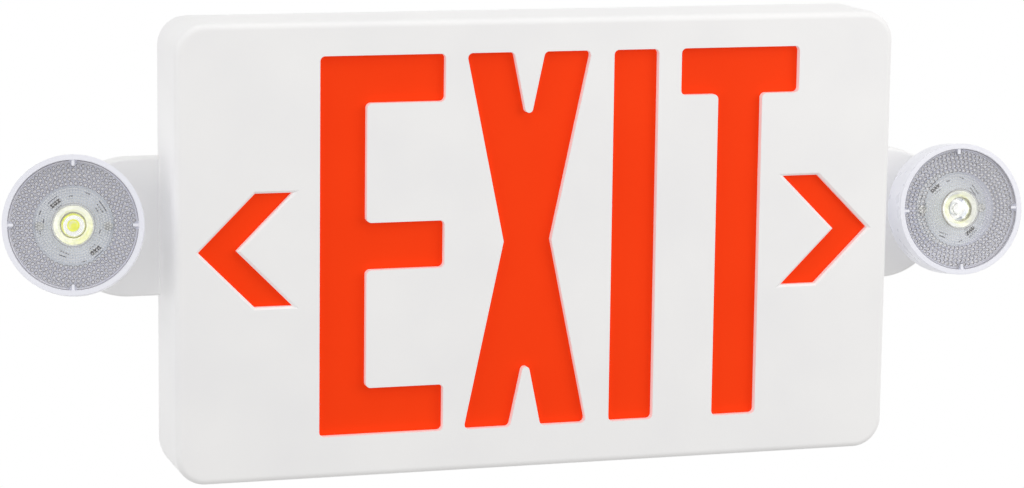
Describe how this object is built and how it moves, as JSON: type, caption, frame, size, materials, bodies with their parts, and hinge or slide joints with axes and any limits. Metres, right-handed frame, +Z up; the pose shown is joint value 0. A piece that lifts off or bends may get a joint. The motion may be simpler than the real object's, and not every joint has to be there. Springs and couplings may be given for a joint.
{
  "type": "emergency exit light",
  "caption": "Wall-mounted exit sign with a stencil-cut legend and chevrons over a red diffuser, and a swivelling round lamp head on a thin arm at each side.",
  "frame": {"origin": "centre of the case on its back face, which lies on the wall", "axes": "+X along the sign to the reader's right, +Y into the wall, +Z up"},
  "size_m": [0.4285, 0.0436, 0.1846],
  "materials": {
    "white_case": "white flame-retardant plastic, satin moulded face",
    "red_diffuser": "bright red translucent acrylic",
    "white_reflector": "white moulded reflector",
    "zinc_steel": "zinc-plated screws and nuts",
    "white_board": "white solder mask on a metal-cored board",
    "led_red": "red LED package",
    "battery_wrap": "blue shrink wrap",
    "black_plastic": "black moulded plastic",
    "green_board": "green solder mask on glass-epoxy",
    "core_steel": "stacked and varnished steel laminations",
    "winding_tape": "yellow polyester tape over the windings",
    "green_terminal": "green moulded terminal block",
    "fuse_glass": "clear fuse tube",
    "clear_pipe": "clear light pipe",
    "stud_steel": "turned and plated steel",
    "white_acetal": "natural acetal bearing liner",
    "led_package": "white ceramic LED package",
    "led_yellow": "yellow phosphor under a clear dome",
    "lens_clear": "clear moulded polycarbonate with fine prisms",
    "red_button": "red moulded push button",
    "spring_steel": "spring wire"
  },
  "bodies": {
    "case": {"front_cover": "white_case", "back_housing": "white_case", "red_panel": "red_diffuser", "light_box": "white_reflector", "light_box_screws": "zinc_steel", "upper_led_strip": "white_board", "upper_strip_leds": "led_red", "lower_led_strip": "white_board", "lower_strip_leds": "led_red", "battery_pack": "battery_wrap", "battery_strap": "black_plastic", "strap_screws": "zinc_steel", "control_board": "green_board", "board_screws": "zinc_steel", "transformer_core": "core_steel", "transformer_winding": "winding_tape", "capacitors": "black_plastic", "terminal_block": "green_terminal", "fuse": "fuse_glass", "test_switch": "black_plastic", "status_led": "led_red", "status_light_pipe": "clear_pipe", "case_screws": "zinc_steel", "arm_screws": "zinc_steel", "left_lamp_arm": "white_case", "left_ball_stud": "stud_steel", "left_stud_nut": "zinc_steel", "right_lamp_arm": "white_case", "right_ball_stud": "stud_steel", "right_stud_nut": "zinc_steel"},
    "left_swivel": {"left_swivel_liner": "white_acetal"},
    "left_lamp": {"left_lamp_shell": "white_case", "left_lamp_ball_retainer": "white_reflector", "left_lamp_retainer_screws": "zinc_steel", "left_lamp_board": "white_board", "left_lamp_board_screws": "zinc_steel", "left_lamp_led": "led_package", "left_lamp_led_dome": "led_yellow", "left_lamp_lens": "lens_clear"},
    "right_swivel": {"right_swivel_liner": "white_acetal"},
    "right_lamp": {"right_lamp_shell": "white_case", "right_lamp_ball_retainer": "white_reflector", "right_lamp_retainer_screws": "zinc_steel", "right_lamp_board": "white_board", "right_lamp_board_screws": "zinc_steel", "right_lamp_led": "led_package", "right_lamp_led_dome": "led_yellow", "right_lamp_lens": "lens_clear"},
    "test_button": {"test_button": "red_button", "switch_plunger": "black_plastic", "button_spring": "spring_steel"}
  },
  "joints": [
    {"name": "left_lamp_pan", "type": "hinge", "parent": "case", "child": "left_swivel", "pos_m": [-0.1851, -0.0155, 0.00965], "axis": [0, 0, 1], "range_deg": [-28, 26]},
    {"name": "left_lamp_tilt", "type": "hinge", "parent": "left_swivel", "child": "left_lamp", "pos_m": [-0.1851, -0.0155, 0.00965], "axis": [0.9781, -0.2079, 0], "range_deg": [-6, 30]},
    {"name": "right_lamp_pan", "type": "hinge", "parent": "case", "child": "right_swivel", "pos_m": [0.1851, -0.0155, 0.0043], "axis": [0, 0, 1], "range_deg": [-13, 41]},
    {"name": "right_lamp_tilt", "type": "hinge", "parent": "right_swivel", "child": "right_lamp", "pos_m": [0.1851, -0.0155, 0.0043], "axis": [0.9998, -0.0175, 0], "range_deg": [-10, 26]},
    {"name": "test_button_press", "type": "slide", "parent": "case", "child": "test_button", "axis": [0, 0, 1], "range_m": [0, 0.0015], "stiffness_N_per_m": 250, "springref_m": -0.002, "deforming": ["button_spring"]}
  ]
}
